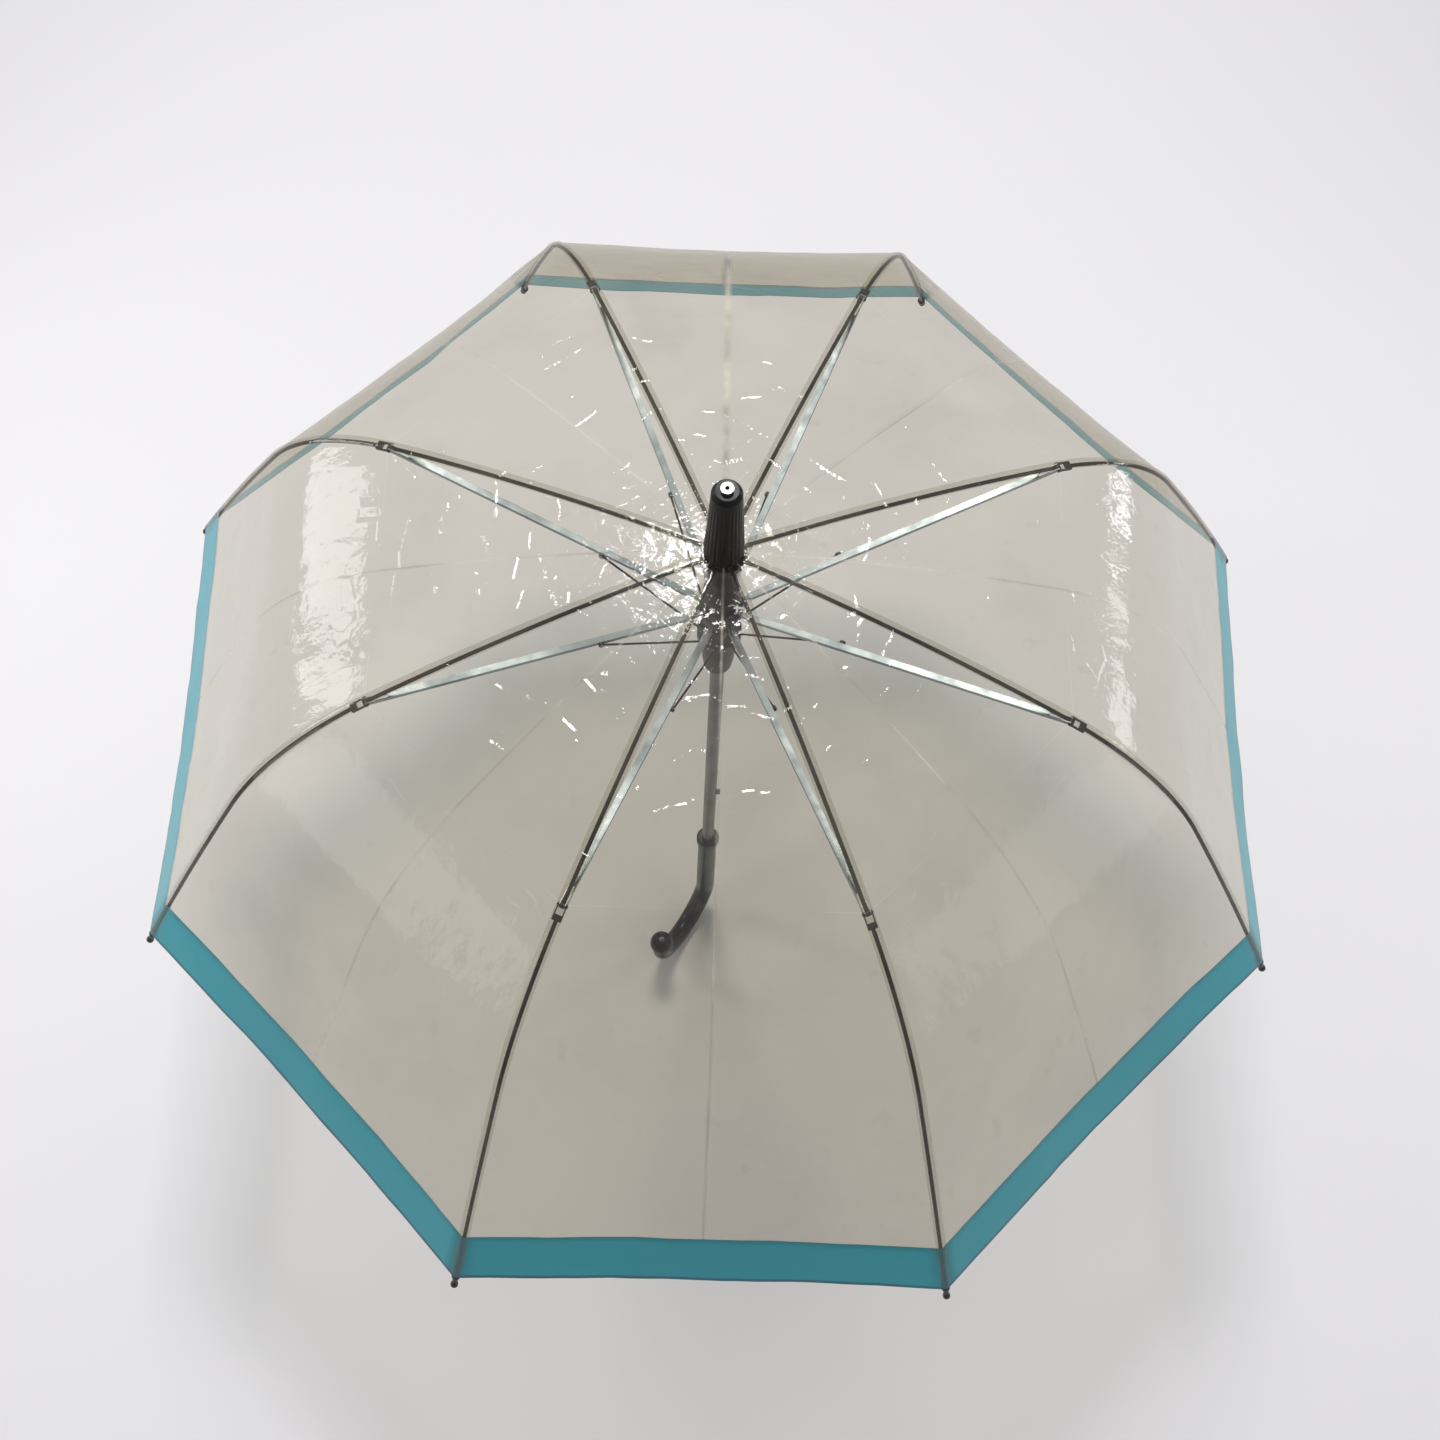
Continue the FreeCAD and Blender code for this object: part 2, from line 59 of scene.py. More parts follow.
# The part's frame, in metres: the origin is the middle of the hand grip and the rib pivots are this far up.
CROWN_Z = 0.586
RIB_COUNT = 8
FIRST_RIB_TURN = 22.5
RIB_PITCH = 360.0 / RIB_COUNT
HALF_PITCH = math.radians(RIB_PITCH / 2)

# The rib's path, as the ribs are made: radii and depths of its pivots, and slopes below the horizontal.
PIVOT_RADIUS = 0.013
JOINT_RADIUS = 0.238
JOINT_DEPTH = 0.038
RIM_RADIUS = 0.440
RIM_DEPTH = 0.306
UPPER_BOW = 6.0
LOWER_SLOPES = (18.0, 60.0, 63.5)
TIP_LENGTH = 0.012

# The canopy: heights of its layers over the ribs' middle lines, and how the film bends and folds
FILM_LIFT = 0.0026
FILM_TOP_RADIUS = 0.012
BORDER_WIDTH = 0.049
BORDER_OVERLAP = 0.006
BORDER_LIFT = 0.0030
SEAM_LIFT = 0.0034
SEAM_HALF_WIDTH = 0.0037
SEAM_TAPER = 0.3
SEAM_START = 0.004
SEAM_STOP = 0.002
SEAM_PROFILE = ((-1.0, -0.0006), (-0.45, 0.0001), (0.45, 0.0001), (1.0, -0.0006))
WELD_LINE = 0.0012
WELD_END = 0.004
HEM_LINE = 0.0034
HEM_WIDTH = 0.003
CREASE_WIDTH = 0.0014
FAR_CREASE_WIDTH = 0.0034
FAR_RIBS = (1, 2)
WIDEST_CREASE = 0.3
PANEL_DIP = 0.0035
WRINKLE = 0.0011
LEAST_WRINKLE = 0.25
WRINKLE_RAMP = 2.2
LONG_WAVES = (17.0, 17.0, 6.0)
FINE_WAVES = (60.0, 60.0, 14.0)
FINE_SHIFT = 5.0

# Steps of the canopy's meshes
COLUMNS = 14
UPPER_ROWS = 26
LOWER_ROWS = 44
BORDER_ROWS = 7
UPPER_SEAM_ROWS = 20
LOWER_SEAM_ROWS = 40

# What each film lets through
FILM_TINT = (0.70, 0.675, 0.60)
BORDER_TINT = (0.06, 0.56, 0.66)
SEAM_TINT = (0.80, 0.78, 0.73)
FLUTE_COUNT = 26.0
FLUTES_FADE = (0.063, 0.067)


# ---------------------------------------------------------------- the rib's path


def sin(degrees):
    return math.sin(math.radians(degrees))


def cos(degrees):
    return math.cos(math.radians(degrees))


class Curve:
    """A path that bends down in arcs, as (distance out, height, slope) at a distance along it."""

    def __init__(self, x, z, arcs):
        self.pieces = []
        for start, end, radius in arcs:
            centre = (x - radius * sin(start), z - radius * cos(start))
            self.pieces.append((centre, start, radius, radius * math.radians(end - start)))
            x = centre[0] + radius * sin(end)
            z = centre[1] + radius * cos(end)
        self.length = sum(p[3] for p in self.pieces)

    def at(self, distance):
        for i, (centre, start, radius, length) in enumerate(self.pieces):
            if distance <= length or i == len(self.pieces) - 1:
                slope = start + math.degrees(distance / radius)
                return centre[0] + radius * sin(slope), centre[1] + radius * cos(slope), slope
            distance -= length


def upper_curve():
    out = JOINT_RADIUS - PIVOT_RADIUS
    slope = math.degrees(math.atan2(JOINT_DEPTH, out))
    radius = math.hypot(out, JOINT_DEPTH) / (2 * sin(UPPER_BOW))
    return Curve(PIVOT_RADIUS, CROWN_Z, [(slope - UPPER_BOW, slope + UPPER_BOW, radius)])


def lower_curve():
    a, m, b = LOWER_SLOPES
    out1, down1 = sin(m) - sin(a), cos(a) - cos(m)
    out2, down2 = sin(b) - sin(m), cos(m) - cos(b)
    out = RIM_RADIUS - JOINT_RADIUS
    down = RIM_DEPTH - JOINT_DEPTH
    det = out1 * down2 - out2 * down1
    r1 = (out * down2 - out2 * down) / det
    r2 = (out1 * down - down1 * out) / det
    return Curve(JOINT_RADIUS, CROWN_Z - JOINT_DEPTH, [(a, m, r1), (m, b, r2)])


UPPER = upper_curve()
LOWER = lower_curve()
HEM = LOWER.length - TIP_LENGTH - 0.0005


# ---------------------------------------------------------------- materials


class Nodes:
    """A short way to build one material's node tree."""

    def __init__(self, name):
        self.material = bpy.data.materials.new(name)
        self.material.use_nodes = True
        self.tree = self.material.node_tree
        self.tree.nodes.clear()
        self.out = self.add("ShaderNodeOutputMaterial")
        self.place = self.add("ShaderNodeTexCoord").outputs["Object"]

    def add(self, kind, **settings):
        node = self.tree.nodes.new(kind)
        for key, value in settings.items():
            setattr(node, key, value)
        return node

    def join(self, a, b):
        self.tree.links.new(a, b)

    def set(self, socket, value):
        if isinstance(value, bpy.types.NodeSocket):
            self.join(value, socket)
        else:
            socket.default_value = value

    def math(self, operation, a, b=0.0, clamp=False):
        node = self.add("ShaderNodeMath", operation=operation, use_clamp=clamp)
        self.set(node.inputs[0], a)
        self.set(node.inputs[1], b)
        return node.outputs[0]

    def stretched(self, scale):
        node = self.add("ShaderNodeMapping")
        self.join(self.place, node.inputs["Vector"])
        node.inputs["Scale"].default_value = scale
        return node.outputs[0]

    def noise(self, scale, detail=3.0, vector=None, roughness=0.5):
        node = self.add("ShaderNodeTexNoise")
        self.join(vector or self.place, node.inputs["Vector"])
        node.inputs["Scale"].default_value = scale
        node.inputs["Detail"].default_value = detail
        node.inputs["Roughness"].default_value = roughness
        return node.outputs["Fac"]

    def cracks(self, scale, width):
        """Thin lines between irregular cells, 1 on a line and 0 away from it."""
        node = self.add("ShaderNodeTexVoronoi", feature="DISTANCE_TO_EDGE")
        self.join(self.place, node.inputs["Vector"])
        node.inputs["Scale"].default_value = scale
        return self.ramp(node.outputs["Distance"], 0.0, width, 1.0, 0.0)

    def ramp(self, value, low, high, out_low=0.0, out_high=1.0):
        node = self.add("ShaderNodeMapRange")
        self.set(node.inputs["Value"], value)
        node.inputs["From Min"].default_value = low
        node.inputs["From Max"].default_value = high
        node.inputs["To Min"].default_value = out_low
        node.inputs["To Max"].default_value = out_high
        return node.outputs["Result"]

    def tint(self, factor, a, b):
        node = self.add("ShaderNodeMix", data_type="RGBA")
        self.set(node.inputs["Factor"], factor)
        self.set(node.inputs["A"], (*a, 1.0) if isinstance(a, tuple) else a)
        self.set(node.inputs["B"], (*b, 1.0) if isinstance(b, tuple) else b)
        return node.outputs["Result"]

    def bump(self, height, strength, distance):
        node = self.add("ShaderNodeBump")
        self.join(height, node.inputs["Height"])
        node.inputs["Strength"].default_value = strength
        node.inputs["Distance"].default_value = distance
        return node.outputs["Normal"]

    def attribute(self, name):
        return self.add("ShaderNodeAttribute", attribute_name=name).outputs["Fac"]

    def principled(self, color, roughness, metallic=0.0, normal=None, coat=0.0):
        node = self.add("ShaderNodeBsdfPrincipled")
        self.set(node.inputs["Base Color"], color)
        self.set(node.inputs["Roughness"], roughness)
        node.inputs["Metallic"].default_value = metallic
        node.inputs["Coat Weight"].default_value = coat
        node.inputs["Coat Roughness"].default_value = 0.12
        if normal is not None:
            self.join(normal, node.inputs["Normal"])
        return node

    def finish(self, shader):
        self.join(shader.outputs[0], self.out.inputs["Surface"])
        return self.material


def see_through(n, through, body, factor, gloss=0.0, normal=None, rough=0.05):
    """A film that shows what is behind it, tinted, with a share (factor) of its own body on top.

    gloss scales how much the film mirrors.
    """
    clear = n.add("ShaderNodeBsdfTransparent")
    n.set(clear.inputs["Color"], (*through, 1.0))
    mix = n.add("ShaderNodeMixShader")
    n.set(mix.inputs["Fac"], factor)
    n.join(clear.outputs[0], mix.inputs[1])
    n.join(body.outputs[0], mix.inputs[2])
    shine = n.add("ShaderNodeBsdfAnisotropic")
    shine.inputs["Color"].default_value = (1.0, 1.0, 1.0, 1.0)
    shine.inputs["Roughness"].default_value = rough
    mirror = n.add("ShaderNodeLayerWeight")
    mirror.inputs["Blend"].default_value = 0.5
    if normal is not None:
        n.join(normal, shine.inputs["Normal"])
        n.join(normal, mirror.inputs["Normal"])
    # Schlick's curve, which is the same from both sides of the film.
    grazing = n.math("POWER", mirror.outputs["Facing"], 5.0)
    share = n.math("ADD", n.math("MULTIPLY", grazing, 0.55), 0.045)
    both = n.add("ShaderNodeMixShader")
    n.join(n.math("MULTIPLY", share, gloss, clamp=True), both.inputs["Fac"])
    n.join(mix.outputs[0], both.inputs[1])
    n.join(shine.outputs[0], both.inputs[2])
    return n.finish(both)


def film_material():
    """Clear film: fine grain, broad waves, crumples at the crown, smudges, streaks and creases."""
    n = Nodes("clear_film")
    grain = n.noise(70.0, 4.0, n.stretched((1.0, 1.0, 0.25)))
    ripple = n.noise(11.0, 2.0)
    waves = n.math("ADD", n.math("MULTIPLY", grain, 0.5), ripple)
    place = n.add("ShaderNodeSeparateXYZ")
    n.join(n.place, place.inputs[0])
    # Crumpled more near the crown, where the gores are gathered.
    near_top = n.ramp(place.outputs["Z"], CROWN_Z - 0.030, CROWN_Z - 0.004)
    crumple = n.math("MULTIPLY", n.noise(95.0, 3.0, roughness=0.6), near_top)
    waves = n.math("ADD", waves, n.math("MULTIPLY", crumple, 0.5))
    # Small sharp kinks here and there over the upper film, which catch the light.
    kinked = n.ramp(place.outputs["Z"], CROWN_Z - 0.055, CROWN_Z - 0.030)
    patches = n.ramp(n.noise(26.0, 2.0), 0.48, 0.56)
    kinks = n.math("MULTIPLY", n.cracks(48.0, 0.07), n.math("MULTIPLY", patches, kinked))
    waves = n.math("ADD", waves, n.math("MULTIPLY", kinks, 0.35))
    normal = n.bump(waves, 0.35, 0.005)
    smudge = n.ramp(n.noise(6.0, 5.0, roughness=0.65), 0.42, 0.72, 0.0, 0.12)
    crease = n.math("MULTIPLY", n.attribute("crease"), 0.42)
    scuffs = n.noise(60.0, 2.0, n.stretched((1.0, 1.0, 0.08)))
    streak = n.ramp(scuffs, 0.66, 0.74, 0.0, 0.05)
    own = n.math("ADD", smudge, n.math("ADD", crease, streak))
    factor = n.math("ADD", own, 0.015, clamp=True)
    clouds = n.ramp(n.noise(13.0, 4.0, roughness=0.6), 0.38, 0.62)
    color = n.tint(clouds, (0.72, 0.67, 0.55), (0.17, 0.165, 0.135))
    body = n.principled(color, 0.35, normal=normal)
    return see_through(n, FILM_TINT, body, factor, 0.6, normal, 0.03)


def border_material():
    """Tinted film, darker along its hem and its weld."""
    n = Nodes("border_film")
    ripple = n.noise(14.0, 3.0)
    normal = n.bump(ripple, 0.25, 0.003)
    cloud = n.noise(10.0, 4.0)
    base = n.tint(cloud, (0.004, 0.270, 0.335), (0.012, 0.330, 0.395))
    line = n.attribute("hem")
    color = n.tint(line, base, (0.012, 0.135, 0.190))
    body = n.principled(color, 0.35, normal=normal)
    body.inputs["Specular IOR Level"].default_value = 0.15
    share = n.ramp(cloud, 0.3, 0.7, 0.70, 0.80)
    factor = n.math("ADD", share, n.math("MULTIPLY", line, 0.20), clamp=True)
    return see_through(n, BORDER_TINT, body, factor, 0.5, normal, 0.12)


def seam_material():
    """The pressed tape that holds the film to a rib."""
    n = Nodes("welded_seam")
    beads = n.noise(260.0, 2.0)
    normal = n.bump(beads, 0.35, 0.0006)
    color = n.tint(n.noise(20.0), (0.62, 0.60, 0.56), (0.50, 0.49, 0.46))
    body = n.principled(color, 0.25, normal=normal)
    factor = n.ramp(n.noise(30.0), 0.3, 0.7, 0.01, 0.06)
    return see_through(n, SEAM_TINT, body, factor, 0.8, normal, 0.10)


def metal(name, light, dark, rough, stretch, bump=0.12):
    """Drawn or plated steel, with fine lines, dull spots and slight wear."""
    n = Nodes(name)
    lines = n.noise(420.0, 2.0, n.stretched(stretch))
    wear = n.noise(22.0, 3.0)
    color = n.tint(n.ramp(wear, 0.35, 0.7), light, dark)
    roughness = n.ramp(n.math("ADD", lines, n.math("MULTIPLY", wear, 0.6)), 0.4, 1.2, rough, rough + 0.22)
    normal = n.bump(lines, bump, 0.0003)
    return n.finish(n.principled(color, roughness, 1.0, normal))


def moulded(name, light, dark, rough, coat=0.0):
    """Moulded plastic, with fine grain, soft shade changes and rubbed places."""
    n = Nodes(name)
    grain = n.noise(900.0, 2.0)
    rub = n.noise(45.0, 4.0)
    color = n.tint(n.ramp(rub, 0.4, 0.75), dark, light)
    roughness = n.ramp(rub, 0.3, 0.75, rough, rough + 0.18)
    body = n.principled(color, roughness, 0.0, n.bump(grain, 0.10, 0.0003), coat)
    body.inputs["Specular IOR Level"].default_value = 0.25
    return n.finish(body)


def rib_material():
    """Dark enamelled rod, with the black moulded cap at its low end."""
    n = Nodes("rib_steel")
    split = n.add("ShaderNodeSeparateXYZ")
    n.join(n.place, split.inputs[0])
    tip_top = LOWER.at(LOWER.length - TIP_LENGTH)[1]
    on_tip = n.math("LESS_THAN", split.outputs["Z"], tip_top)
    wear = n.ramp(n.noise(60.0, 4.0), 0.55, 0.85)
    steel = n.tint(wear, (0.040, 0.036, 0.032), (0.12, 0.105, 0.09))
    color = n.tint(on_tip, steel, (0.014, 0.014, 0.016))
    metallic = n.math("SUBTRACT", 0.6, n.math("MULTIPLY", on_tip, 0.6))
    body = n.principled(color, n.ramp(n.noise(120.0), 0.3, 0.7, 0.26, 0.42))
    n.join(metallic, body.inputs["Metallic"])
    n.join(n.bump(n.noise(500.0), 0.08, 0.0003), body.inputs["Normal"])
    return n.finish(body)


def fluted_material():
    """The ferrule's black plastic, with fine flutes that run up it."""
    n = Nodes("ferrule_plastic")
    split = n.add("ShaderNodeSeparateXYZ")
    n.join(n.place, split.inputs[0])
    turn = n.math("ARCTAN2", split.outputs["Y"], split.outputs["X"])
    wave = n.math("SINE", n.math("MULTIPLY", turn, FLUTE_COUNT))
    low, high = FLUTES_FADE
    side = n.ramp(split.outputs["Z"], CROWN_Z + low, CROWN_Z + high, 1.0, 0.0)
    height = n.math("MULTIPLY", wave, side)
    rub = n.noise(60.0, 4.0)
    color = n.tint(n.ramp(rub, 0.45, 0.8), (0.006, 0.005, 0.005), (0.020, 0.018, 0.017))
    normal = n.bump(height, 0.4, 0.0005)
    body = n.principled(color, n.ramp(rub, 0.3, 0.7, 0.26, 0.42), 0.0, normal)
    body.inputs["Specular IOR Level"].default_value = 0.15
    return n.finish(body)


MATERIALS = {
    "clear_film": film_material(),
    "border_film": border_material(),
    "seam": seam_material(),
    "rib": rib_material(),
    # The stretchers' steel: its grey is the metal's own, and the blue in both its colours is a painted
    # reflection.
    "channel": metal(
        "channel_steel", (0.40, 0.47, 0.54), (0.24, 0.29, 0.35), 0.30, (0.3, 0.3, 0.3), 0.05
    ),
    "wire": metal("link_wire", (0.10, 0.10, 0.105), (0.05, 0.05, 0.055), 0.28, (1.0, 1.0, 1.0)),
    "shaft": metal("shaft_steel", (0.26, 0.25, 0.25), (0.16, 0.155, 0.155), 0.24, (1.0, 1.0, 0.05)),
    "bright": metal("bright_steel", (0.42, 0.44, 0.47), (0.30, 0.31, 0.33), 0.28, (1.0, 1.0, 1.0)),
    "black": moulded("black_plastic", (0.020, 0.019, 0.027), (0.006, 0.006, 0.010), 0.30),
    "ferrule": fluted_material(),
    "handle": moulded("handle_plastic", (0.024, 0.022, 0.040), (0.009, 0.008, 0.016), 0.24, 0.1),
    "button": moulded("button_plastic", (0.05, 0.05, 0.055), (0.018, 0.018, 0.02), 0.3, 0.2),
}

NODE_FINISH = {
    "shaft": "shaft",
    "crown": "black",
    "bell": "black",
    "runner": "black",
    "runner_lower": "black",
    "handle_collar": "black",
    "ferrule": "ferrule",
    "ferrule_ring": "bright",
    "catch_spring": "bright",
    "handle": "handle",
    "handle_cap": "handle",
    "button": "button",
    "rib_upper": "rib",
    "rib_lower": "rib",
    "stretcher": "channel",
    "link": "wire",
}


def finish_nodes():
    """Give each CAD node that stays visible its own finish."""
    for name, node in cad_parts.items():
        family = name.rsplit("_", 1)[0] if name[-1].isdigit() else name
        if family not in NODE_FINISH:
            continue
        node.data.materials.clear()
        node.data.materials.append(MATERIALS[NODE_FINISH[family]])


# ---------------------------------------------------------------- canopy


def wrinkle(point, strength):
    """Small folds that are the same on both sides of every edge that two pieces share."""
    long_waves = noise.noise(point * Vector(LONG_WAVES))
    fine = noise.noise(point * Vector(FINE_WAVES) + Vector((0.0, 0.0, FINE_SHIFT)))
    return strength * (long_waves + 0.4 * fine)


def canopy_point(k, curve, distance, share, lift):
    """A point of the film over rib k: share runs from -1 to 1, the middles of the panels beside it."""
    x, z, slope = curve.at(distance)
    r = x + lift * sin(slope)
    h = z + lift * cos(slope)
    side = abs(share)
    reach = r * math.cos(HALF_PITCH) * math.sin(HALF_PITCH)
    inset = reach * math.tan(HALF_PITCH)
    point = Vector((r - inset * side, reach * share, h))
    facing = math.copysign(HALF_PITCH, share)
    outward = Vector((sin(slope) * math.cos(facing), sin(slope) * math.sin(facing), cos(slope)))
    width = reach / (RIM_RADIUS * math.cos(HALF_PITCH) * math.sin(HALF_PITCH))
    dip = PANEL_DIP * width * math.sin(side * math.pi / 2)
    turn = Matrix.Rotation(math.radians(FIRST_RIB_TURN + k * RIB_PITCH), 3, "Z")
    placed = turn @ point
    away = math.sin(min(side * WRINKLE_RAMP, 1.0) * math.pi / 2)
    move = wrinkle(placed, WRINKLE * away * (LEAST_WRINKLE + width)) - dip
    return turn @ (point + outward * move)


def shares(curve, distance, half_width, count):
    """Positions across a piece, with a narrow column at each panel middle for its crease."""
    reach = curve.at(distance)[0] * math.sin(HALF_PITCH)
    narrow = 1 - min(half_width / reach, WIDEST_CREASE)
    inner = [narrow * i / count for i in range(count + 1)] + [1.0]
    return [-s for s in inner[:0:-1]] + inner


def sheet_mesh(name, k, curve, stations, lift, marks, material):
    """One sheet over rib k. marks names an attribute and says how strong it is at (row, column)."""
    mesh = bpy.data.meshes.new(name)
    rows = []
    for distance in stations:
        width = FAR_CREASE_WIDTH if k in FAR_RIBS else CREASE_WIDTH
        line = shares(curve, distance, width, COLUMNS)
        rows.append([canopy_point(k, curve, distance, s, lift) for s in line])
    wide = len(rows[0])
    points = [p for row in rows for p in row]
    faces = [
        (i * wide + j, i * wide + j + 1, (i + 1) * wide + j + 1, (i + 1) * wide + j)
        for i in range(len(rows) - 1)
        for j in range(wide - 1)
    ]
    mesh.from_pydata(points, [], faces)
    mesh.update()
    attribute_name, strength = marks
    layer = mesh.attributes.new(attribute_name, "FLOAT", "POINT")
    for i in range(len(rows)):
        for j in range(wide):
            layer.data[i * wide + j].value = strength(i, j, len(rows), wide)
    for face in mesh.polygons:
        face.use_smooth = True
    mesh.materials.append(MATERIALS[material])
    piece = bpy.data.objects.new(name, mesh)
    bpy.context.scene.collection.objects.link(piece)
    return piece


def crease_mark(k):
    """How strongly the crease at each edge of a piece shows: most on the panel between FAR_RIBS."""

    def strength(i, j, high, wide):
        if j not in (0, wide - 1):
            return 0.0
        if k not in FAR_RIBS:
            return 0.9
        return 1.7 if (j == 0) == (k == FAR_RIBS[1]) else 0.25

    return strength


def hem_mark(i, j, high, wide):
    """The border's rolled outer edge, its welded inner edge and the lap at the rib."""
    if i >= high - 2:
        return 1.0
    if i <= 1:
        return 0.45
    return 0.7 if j == wide // 2 else 0.0


def spread(first, last, steps):
    return [first + (last - first) * i / steps for i in range(steps + 1)]


def flat_size(curve, stations):
    """(widest, length) and area of the cut that a piece is made from."""
    widths = [2 * curve.at(d)[0] * math.sin(HALF_PITCH) for d in stations]
    area = sum(
        (b - a) * (wa + wb) / 2
        for a, b, wa, wb in zip(stations, stations[1:], widths, widths[1:])
    )
    return (max(widths), stations[-1] - stations[0]), area


def seam_mesh(name, k, curve, stations):
    """The weld tape along a rib: a low ridge with thin edges that lie on the film."""
    mesh = bpy.data.meshes.new(name)
    points = []
    turn = Matrix.Rotation(math.radians(FIRST_RIB_TURN + k * RIB_PITCH), 3, "Z")
    for distance in stations:
        x, z, slope = curve.at(distance)
        for share, drop in SEAM_PROFILE:
            y = share * min(SEAM_HALF_WIDTH, SEAM_TAPER * x)
            low = abs(y) * math.tan(HALF_PITCH) * sin(slope)
            lift = SEAM_LIFT + drop - low
            points.append(turn @ Vector((x + lift * sin(slope), y, z + lift * cos(slope))))
    wide = len(SEAM_PROFILE)
    faces = [
        (i * wide + j, i * wide + j + 1, (i + 1) * wide + j + 1, (i + 1) * wide + j)
        for i in range(len(stations) - 1)
        for j in range(wide - 1)
    ]
    mesh.from_pydata(points, [], faces)
    for face in mesh.polygons:
        face.use_smooth = True
    mesh.materials.append(MATERIALS["seam"])
    piece = bpy.data.objects.new(name, mesh)
    bpy.context.scene.collection.objects.link(piece)
    return piece


def border_rows(edge):
    """Close rows at the weld and the hem, and even ones between."""
    middle = spread(edge + WELD_END, HEM - HEM_LINE, BORDER_ROWS)
    return [edge, edge + WELD_LINE] + middle + [HEM - HEM_WIDTH, HEM]


def make_canopy():
    """The film, border and weld tapes of every rib."""
    top = FILM_TOP_RADIUS - PIVOT_RADIUS
    edge = HEM - BORDER_WIDTH
    upper_rows = spread(top, UPPER.length, UPPER_ROWS)
    lower_rows = spread(0.0, edge + BORDER_OVERLAP, LOWER_ROWS)
    hem_rows = border_rows(edge)
    for k in range(RIB_COUNT):
        number = k + 1
        crease = ("crease", crease_mark(k))
        hem = ("hem", hem_mark)
        sheets = [
            ("film_top", "upper", UPPER, upper_rows, FILM_LIFT, crease, "clear_film"),
            ("film_side", "lower", LOWER, lower_rows, FILM_LIFT, crease, "clear_film"),
            ("border", "lower", LOWER, hem_rows, BORDER_LIFT, hem, "border_film"),
        ]
        made = {}
        for kind, half, curve, rows, lift, marks, material in sheets:
            piece = sheet_mesh(f"{kind}_{number}", k, curve, rows, lift, marks, material)
            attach(piece, f"rib_{half}_{number}")
            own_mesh(piece)
            made[kind] = (piece, curve, rows)
        for kind, half, curve, rows in (
            ("seam_top", "upper", UPPER, spread(top + SEAM_START, UPPER.length, UPPER_SEAM_ROWS)),
            ("seam_side", "lower", LOWER, spread(0.0, HEM - SEAM_STOP, LOWER_SEAM_ROWS)),
        ):
            seam = seam_mesh(f"{kind}_{number}", k, curve, rows)
            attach(seam, f"rib_{half}_{number}")
        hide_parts(f"film_upper_{number}")
        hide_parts(f"film_lower_{number}")
        for kind, (piece, curve, rows) in made.items():
            flat, area = flat_size(curve, rows)


# ---------------------------------------------------------------- set


FLOOR_SIZE = 30.0


def make_floor(low):
    n = Nodes("studio_floor")
    tone = n.noise(1.2, 3.0)
    color = n.tint(tone, (0.83, 0.82, 0.835), (0.86, 0.85, 0.865))
    half = FLOOR_SIZE / 2
    mesh = bpy.data.meshes.new("floor")
    corners = [(-half, -half, 0), (half, -half, 0), (half, half, 0), (-half, half, 0)]
    mesh.from_pydata(corners, [], [(0, 1, 2, 3)])
    mesh.materials.append(n.finish(n.principled(color, 0.85)))
    floor = bpy.data.objects.new("floor", mesh)
    floor.location = (0.0, 0.0, low)
    bpy.context.scene.collection.objects.link(floor)


def area_light(name, place, target, size, power, color=(1.0, 1.0, 1.0), high=None):
    light = bpy.data.lights.new(name, "AREA")
    light.energy = power
    light.size = size
    light.color = color
    if high is not None:
        light.shape = "RECTANGLE"
        light.size_y = high
    lamp = bpy.data.objects.new(name, light)
    lamp.location = place
    aim = Vector(target) - Vector(place)
    lamp.rotation_euler = aim.to_track_quat("-Z", "Y").to_euler()
    bpy.context.scene.collection.objects.link(lamp)


def glint(name, turn, curve, distance, away, size, high, power):
    """A soft panel placed where the film, at that turn and distance down a rib's curve, mirrors it."""
    x, z, slope = curve.at(distance)
    # Each panel is level from rib to rib, so all of it faces the way its middle does.
    panel = RIB_PITCH * round(turn / RIB_PITCH)
    out = x * math.cos(HALF_PITCH) / cos(turn - panel)
    point = Vector((out * cos(turn), out * sin(turn), z))
    facing = Vector((sin(slope) * cos(panel), sin(slope) * sin(panel), cos(slope)))
    sight = (CAMERA_PLACE - point).normalized()
    mirrored = 2 * facing.dot(sight) * facing - sight
    area_light(name, point + mirrored * away, point, size, power, (1.0, 0.99, 0.97), high)


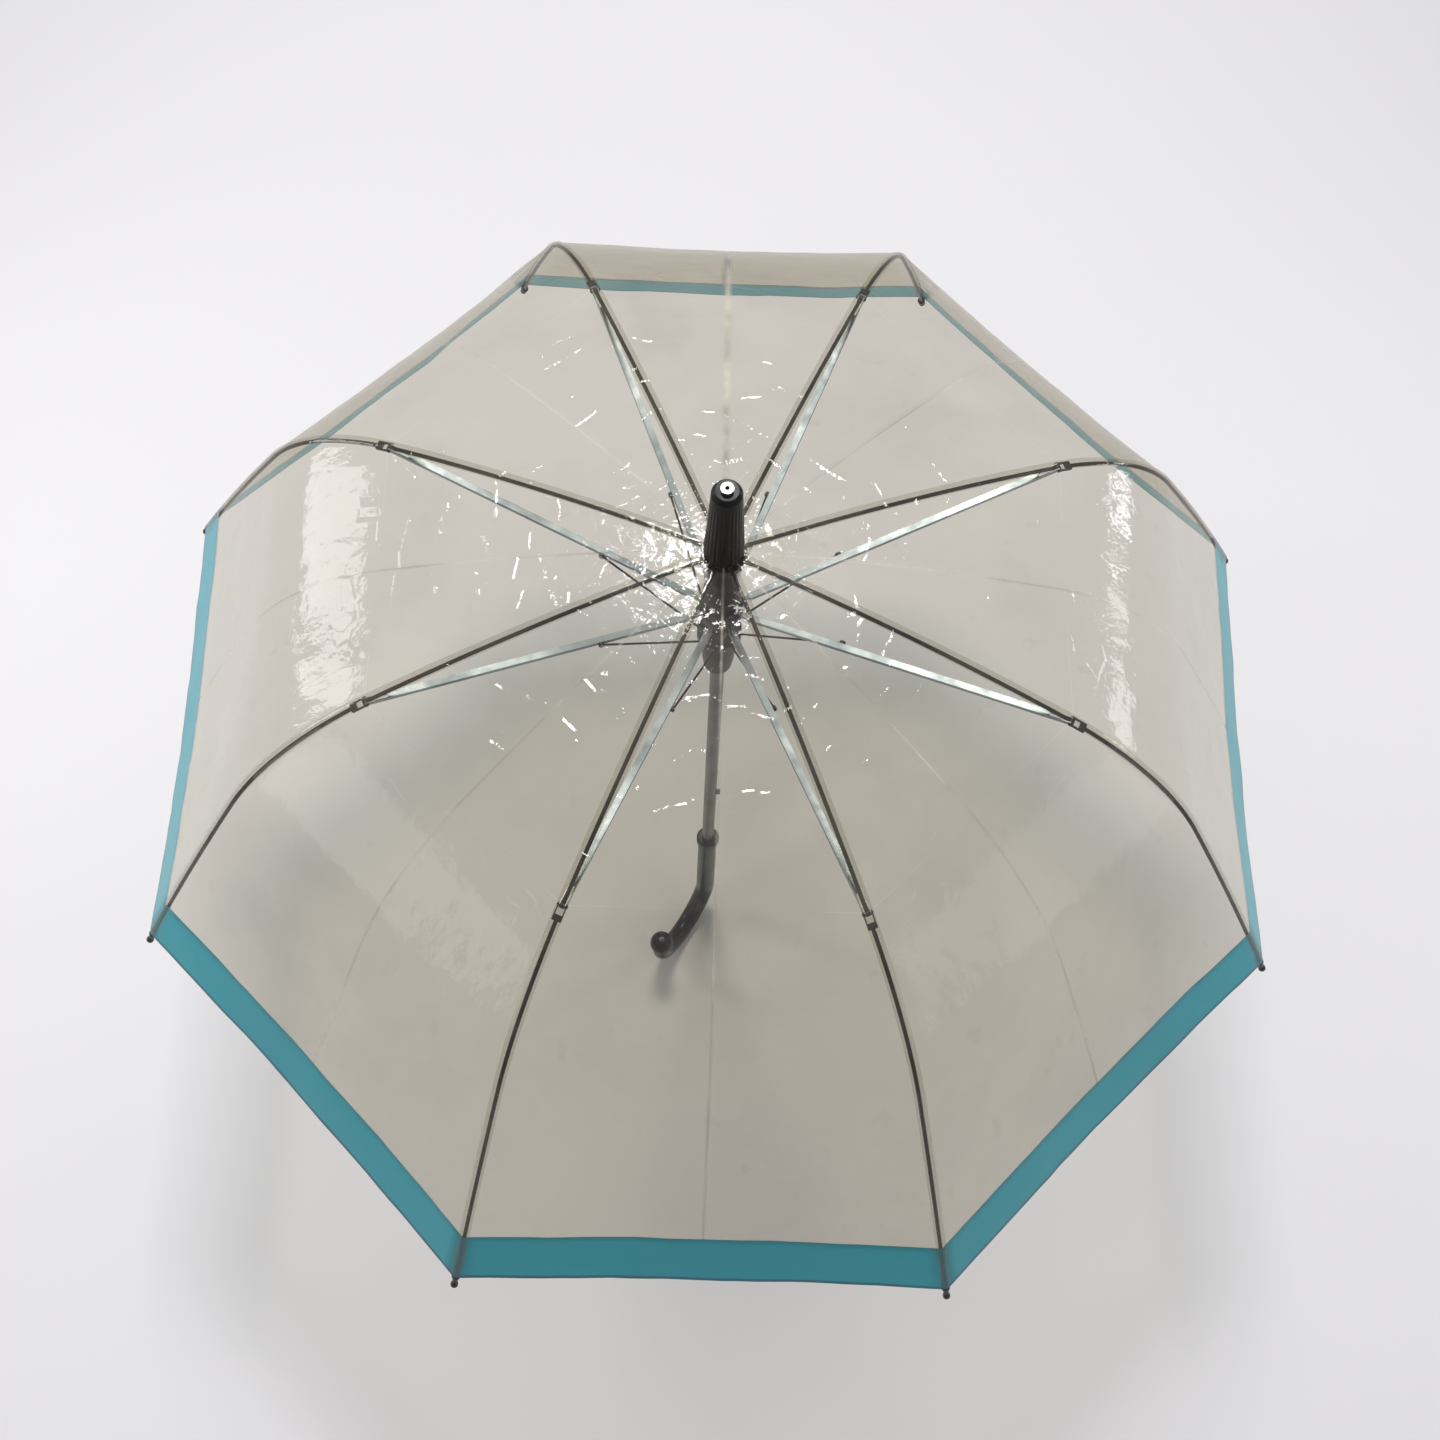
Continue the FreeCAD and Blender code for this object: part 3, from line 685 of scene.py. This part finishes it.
# name, turn, rib half, distance down it, how far off, width, height, watts
GLINTS = (
    ("window_left", 179.0, LOWER, 0.045, 0.95, 0.18, 0.62, 2.6),
    ("window_right", 14.0, LOWER, 0.060, 0.95, 0.06, 0.20, 0.6),
    ("window_right_low", -12.0, LOWER, 0.050, 0.95, 0.14, 0.20, 0.7),
    ("window_near_left", -143.0, LOWER, 0.070, 0.95, 0.34, 0.75, 1.3),
    ("window_near_right", -37.0, LOWER, 0.070, 0.95, 0.34, 0.75, 1.0),
    ("crown_spark", 20.0, UPPER, 0.055, 1.5, 0.05, 0.05, 0.22),
    ("crown_spark_left", 170.0, UPPER, 0.070, 1.5, 0.05, 0.05, 0.22),
)
CANOPY_MIDDLE = (0.0, 0.0, 0.30)
KEY_PLACE = (-0.15, 1.4, 3.4)


def make_light():
    """An even pale world, one soft key light, and the panels that the film mirrors."""
    world = bpy.data.worlds.new("studio")
    world.use_nodes = True
    background = world.node_tree.nodes["Background"]
    background.inputs["Color"].default_value = (0.93, 0.92, 0.96, 1.0)
    background.inputs["Strength"].default_value = 0.38
    bpy.context.scene.world = world
    area_light("key", KEY_PLACE, CANOPY_MIDDLE, 0.8, 76.0)
    for row in GLINTS:
        glint(*row)


# The viewing place: above the crown, with the shaft almost in line with the view.
CAMERA_PLACE = Vector((-0.0182, -0.5829, 1.6829))
CAMERA_TURN = -2.2
CAMERA_ELEVATION = 66.8
CAMERA_ROLL = 3.6
CAMERA_LENS = 49.7


def make_camera():
    """The camera at its viewing place, turned, tilted down and rolled."""
    e = CAMERA_ELEVATION
    spin = Matrix.Rotation(math.radians(CAMERA_TURN), 3, "Z")
    back = spin @ Vector((0.0, -cos(e), sin(e)))
    right = spin @ Vector((1.0, 0.0, 0.0))
    up = back.cross(right)
    across_view = right * cos(CAMERA_ROLL) + up * sin(CAMERA_ROLL)
    up_view = up * cos(CAMERA_ROLL) - right * sin(CAMERA_ROLL)
    axes = Matrix((across_view, up_view, back)).transposed()
    camera = bpy.data.cameras.new("camera")
    camera.sensor_width = 36.0
    camera.lens = CAMERA_LENS
    camera.clip_start = 0.01
    eye = bpy.data.objects.new("camera", camera)
    eye.matrix_world = Matrix.Translation(CAMERA_PLACE) @ axes.to_4x4()
    bpy.context.scene.collection.objects.link(eye)
    bpy.context.scene.camera = eye


bpy.context.scene.view_settings.view_transform = "Standard"
make_camera()
make_light()
make_floor(CAD_BOX[0][2] - 0.0005)
finish_nodes()
make_canopy()
